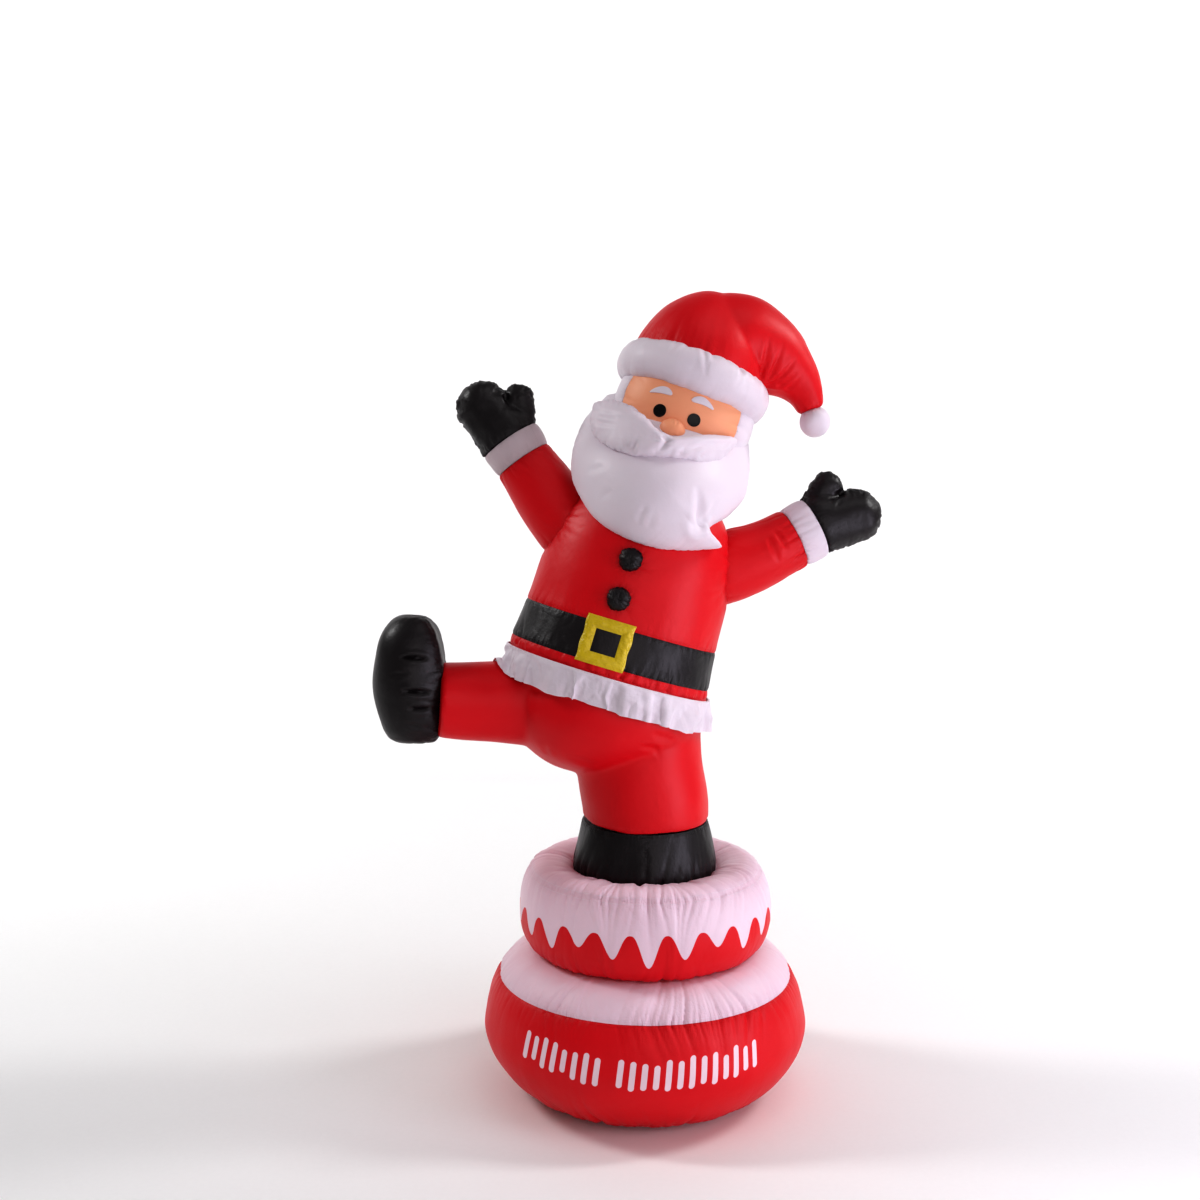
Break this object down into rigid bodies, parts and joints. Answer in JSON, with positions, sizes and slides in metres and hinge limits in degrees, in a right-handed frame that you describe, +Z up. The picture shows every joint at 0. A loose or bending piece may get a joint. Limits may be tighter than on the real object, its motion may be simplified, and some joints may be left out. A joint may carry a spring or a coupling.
{
  "type": "inflatable santa",
  "caption": "Inflatable santa kicking a leg out sideways with raised arms, standing on a cake-shaped base whose icing drips.",
  "frame": {"origin": "middle of the base's flat underside, on the ground", "axes": "+Z up, along the longest extent; the figure faces -Y, and its raised leg points to -X"},
  "size_m": [1.1465, 0.736, 1.8012],
  "materials": {
    "red_fabric": "thin red nylon taffeta, slightly glossy, puckered along its seams",
    "white_fabric": "thin white nylon taffeta, slightly glossy, puckered along its seams",
    "black_fabric": "thin black nylon taffeta with a soft sheen",
    "skin_fabric": "thin peach nylon taffeta, satin",
    "yellow_fabric": "thin yellow nylon taffeta, crinkled, glossy"
  },
  "bodies": {
    "root": {"lower_tier": "red_fabric", "lower_tier_top": "white_fabric", "upper_tier": "red_fabric", "upper_tier_icing": "white_fabric", "standing_boot": "black_fabric", "trousers": "red_fabric", "kicking_boot": "black_fabric", "flounce": "white_fabric", "jacket_hem": "red_fabric", "belt": "black_fabric", "buckle": "yellow_fabric", "jacket": "red_fabric", "lower_button": "black_fabric", "upper_button": "black_fabric", "left_sleeve": "red_fabric", "left_cuff": "white_fabric", "left_mitten": "black_fabric", "right_sleeve": "red_fabric", "right_cuff": "white_fabric", "right_mitten": "black_fabric", "head": "white_fabric", "face": "skin_fabric", "left_eye": "black_fabric", "right_eye": "black_fabric", "left_brow": "white_fabric", "right_brow": "white_fabric", "nose": "skin_fabric", "moustache": "white_fabric", "beard": "white_fabric", "hat_brim": "white_fabric", "hat_crown": "red_fabric", "hat_pompom": "white_fabric"}
  },
  "joints": []
}
